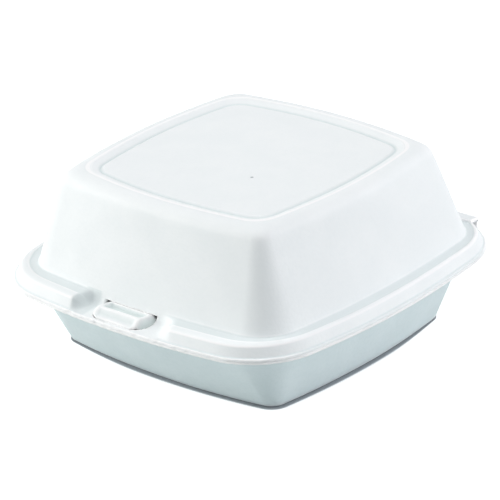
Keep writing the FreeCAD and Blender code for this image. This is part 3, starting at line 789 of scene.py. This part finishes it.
def foam_material(name, group, light, dark, pressed, bead, bump, speck=None):
    """Foam finish with painted light: a painted highlight on ridges, painted shade in hollows, and pressed
    is the colour of the painted shade in valleys.

    Where speck is a place, a pinhole left by the mould darkens it."""
    material = bpy.data.materials.new(name)
    material.use_nodes = True
    n = Nodes(material.node_tree)
    shader = material.node_tree.nodes["Principled BSDF"]
    place = n.add("ShaderNodeTexCoord").outputs["Object"]
    skin = n.add("ShaderNodeGroup", {"node_tree": group}, Vector=place, Light=light, Dark=dark)
    skin.inputs["Bead Size"].default_value = bead
    colour = skin.outputs["Color"]
    bend = n.add("ShaderNodeAttribute", {"attribute_name": "bend"}).outputs["Fac"]
    painted_light = n.add("ShaderNodeAttribute", {"attribute_name": "painted_light"}).outputs["Fac"]
    # painted highlight and shade from the bend, then painted shade and highlight from the painted-light
    # attribute
    for value, low, high, tone in ((bend, *RIDGE_BENDS, RIDGE_HIGHLIGHT), (bend, *HOLLOW_BENDS, HOLLOW_SHADE),
                                   (painted_light, 0.0, 1.0, pressed), (painted_light, 1.0, 2.0, GROOVE_SHADE_TONE),
                                   (painted_light, 0.0, -1.0, RIDGE_HIGHLIGHT)):
        amount = n.add("ShaderNodeMapRange", Value=value, _1=low, _2=high, _3=0.0, _4=1.0)
        colour = n.add("ShaderNodeMix", {"data_type": "RGBA"}, _0=amount.outputs[0], _6=colour,
                       _7=tone).outputs[2]
    if speck:
        apart = n.add("ShaderNodeVectorMath", {"operation": "DISTANCE"}, _0=place, _1=speck)
        hole = n.add("ShaderNodeMapRange", {"interpolation_type": "SMOOTHSTEP"},
                     Value=apart.outputs["Value"], _1=SPECK_REACH[0], _2=SPECK_REACH[1],
                     _3=1.0, _4=0.0)
        colour = n.add("ShaderNodeMix", {"data_type": "RGBA"}, _0=hole.outputs[0], _6=colour,
                       _7=SPECK_COLOUR).outputs[2]
    dents = n.add("ShaderNodeBump", Height=skin.outputs["Height"], Strength=bump, Distance=BUMP_DEPTH)
    n.put(shader.inputs["Base Color"], colour)
    n.put(shader.inputs["Roughness"], skin.outputs["Roughness"])
    n.put(shader.inputs["Normal"], dents.outputs["Normal"])
    shader.inputs["Specular IOR Level"].default_value = 0.4
    shader.inputs["Subsurface Weight"].default_value = SOAK
    shader.inputs["Subsurface Radius"].default_value = (1.0, 1.0, 1.0)
    shader.inputs["Subsurface Scale"].default_value = SOAK_DEPTH
    return material


def dress(piece, material, body, *nodes):
    """Gives a piece its finish and its body, and hides the solids that it stands for."""
    piece.data.materials.append(material)
    bending(piece.data)
    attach(piece, body)
    if nodes:
        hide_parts(*nodes)


def white_seen(n, shader, strength):
    """Adds plain white to what the camera sees, straight, in gloss or through glass."""
    path = n.add("ShaderNodeLightPath")
    seen = n.add("ShaderNodeMath", {"operation": "MAXIMUM"}, _0=path.outputs["Is Camera Ray"],
                 _1=path.outputs["Is Glossy Ray"])
    seen = n.add("ShaderNodeMath", {"operation": "MAXIMUM"}, _0=seen.outputs[0],
                 _1=path.outputs["Is Transmission Ray"])
    amount = n.add("ShaderNodeMath", {"operation": "MULTIPLY"}, _0=seen.outputs[0], _1=strength)
    glow = n.add("ShaderNodeEmission", Strength=amount.outputs[0])
    both = n.add("ShaderNodeAddShader", _0=shader, _1=glow.outputs[0])
    return both.outputs[0]


def make_floor():
    """Pale floor that reads as the white background, with a contact shadow painted into its colour as a
    dark line.

    It is made of rings round the tray's floor, so that the line follows the tray's outline."""
    stations = np.array([np.append(TRAY_FLOOR + reach * SHRINK, 0) for reach in FLOOR_REACHES])
    rings = bowed_square(stations)
    rows, columns = rings.shape[:2]
    number = np.arange(rows * columns).reshape(rows, columns)
    following = np.roll(number, -1, axis=1)
    quads = np.stack([number[:-1], number[1:], following[1:], following[:-1]], axis=2).reshape(-1, 4)
    fan = np.stack([number[0], following[0], np.full(columns, rows * columns)], axis=1)
    points = np.concatenate([rings.reshape(-1, 3), rings[:1].mean(axis=1)])
    floor = new_mesh("floor", points, quads, fan)
    along = CONTACT_ALONG[0] * rings[..., 0] + CONTACT_ALONG[1] * rings[..., 1]
    full = smooth(along, *CONTACT_NARROW) * (1 - smooth(along, *CONTACT_END))
    narrow = CONTACT_THIN + (1 - CONTACT_THIN) * full
    # clear is 0 in the painted contact shadow and 1 beyond it
    clear = np.append(smooth(FLOOR_REACHES[:, None] / narrow, *CONTACT_LINE), 0.0)
    floor.data.attributes.new("clear", "FLOAT", "POINT").data.foreach_set("value", clear)
    material = bpy.data.materials.new("pale_floor")
    material.use_nodes = True
    n = Nodes(material.node_tree)
    shader = material.node_tree.nodes["Principled BSDF"]
    place = n.add("ShaderNodeTexCoord").outputs["Object"]
    patch = n.add("ShaderNodeTexNoise", Vector=place, Scale=9.0, Detail=3.0)
    pale = n.add("ShaderNodeMix", {"data_type": "RGBA"}, _0=patch.outputs["Fac"],
                 _6=FLOOR_COLOURS[0], _7=FLOOR_COLOURS[1])
    clear = n.add("ShaderNodeAttribute", {"attribute_name": "clear"})
    colour = n.add("ShaderNodeMix", {"data_type": "RGBA"}, _0=clear.outputs["Fac"],
                   _6=CONTACT_SHADOW_COLOUR, _7=pale.outputs[2])
    n.put(shader.inputs["Base Color"], colour.outputs[2])
    shader.inputs["Roughness"].default_value = 0.8
    shader.inputs["Specular IOR Level"].default_value = 0.1
    white = n.add("ShaderNodeMath", {"operation": "MULTIPLY"}, _0=clear.outputs["Fac"], _1=FLOOR_WHITE)
    ending = material.node_tree.nodes["Material Output"]
    n.put(ending.inputs["Surface"], white_seen(n, shader.outputs[0], white.outputs[0]))
    floor.data.materials.append(material)


def make_world():
    """Soft sky light, seen as white."""
    world = bpy.data.worlds.new("sky")
    bpy.context.scene.world = world
    world.use_nodes = True
    n = Nodes(world.node_tree)
    light = world.node_tree.nodes["Background"]
    light.inputs["Color"].default_value = SKY_COLOUR
    light.inputs["Strength"].default_value = SKY
    ending = world.node_tree.nodes["World Output"]
    n.put(ending.inputs["Surface"], white_seen(n, light.outputs[0], 1.0 - SKY * SKY_COLOUR[0]))


def make_lamp(name, direction, power, colour):
    """Square area lamp that faces the object from a direction."""
    lamp = bpy.data.lights.new(name, "AREA")
    lamp.size = LAMP_SIZE
    lamp.energy = power
    lamp.color = colour
    holder = bpy.data.objects.new(name, lamp)
    bpy.context.scene.collection.objects.link(holder)
    away = Vector(direction).normalized()
    holder.location = away * LAMP_DISTANCE + Vector((0, 0, AIM_Z * MM))
    holder.rotation_euler = away.to_track_quat("Z", "Y").to_euler()


def make_camera():
    """Camera of the photograph: it looks down from the front corner and leans a little."""
    a, e, roll = (math.radians(v) for v in (AZIMUTH, ELEVATION, ROLL))
    back = Vector((math.sin(a) * math.cos(e), -math.cos(a) * math.cos(e), math.sin(e)))
    level = Vector((math.cos(a), math.sin(a), 0))
    upright = back.cross(level)
    right = level * math.cos(roll) + upright * math.sin(roll)
    up = upright * math.cos(roll) - level * math.sin(roll)
    lens = bpy.data.cameras.new("photograph")
    lens.sensor_width = SENSOR
    lens.lens = FOCAL_PIXELS / PICTURE * SENSOR
    lens.shift_x = (PICTURE / 2 - CENTRE_PIXEL[0]) / PICTURE
    lens.shift_y = (CENTRE_PIXEL[1] - PICTURE / 2) / PICTURE
    lens.clip_end = 10
    camera = bpy.data.objects.new("photograph", lens)
    bpy.context.scene.collection.objects.link(camera)
    turn = Matrix((right, up, back)).transposed().to_4x4()
    camera.matrix_world = Matrix.Translation(back * DISTANCE * MM + Vector((0, 0, AIM_Z * MM))) @ turn
    bpy.context.scene.camera = camera


make_camera()
make_world()
make_floor()
make_lamp("left_softbox", LEFT_LAMP, LEFT_POWER, LEFT_COLOUR)
make_lamp("right_softbox", RIGHT_LAMP, RIGHT_POWER, RIGHT_COLOUR)
make_lamp("top_softbox", TOP_LAMP, TOP_POWER, TOP_COLOUR)

skin = foam_group()
lid_finish = foam_material("lid_foam_skin", skin, LIGHT_FOAM, DARK_FOAM, VALLEY_SHADE, BEAD_SIZE, BEAD_BUMP,
                           SPECK_PLACE)
shaded_tray_finish = foam_material("shaded_tray_foam_skin", skin, SHADED_TRAY_LIGHT, SHADED_TRAY_DARK, VALLEY_SHADE, BEAD_SIZE,
                            BEAD_BUMP)
pressed_finish = foam_material("pressed_foam_skin", skin, LIGHT_FOAM, DARK_FOAM, DISH_SHADE, FINE_BEAD_SIZE,
                               FINE_BEAD_BUMP)

dress(make_lid(), lid_finish, "lid", "lid")
dress(make_tray(), shaded_tray_finish, "base", "base_tray")
dress(make_tongue(), pressed_finish, "base")
hinge = make_hinge()
hinge.data.materials.append(pressed_finish)
bending(hinge.data)
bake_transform(hinge)

bpy.context.scene.view_settings.view_transform = "Standard"
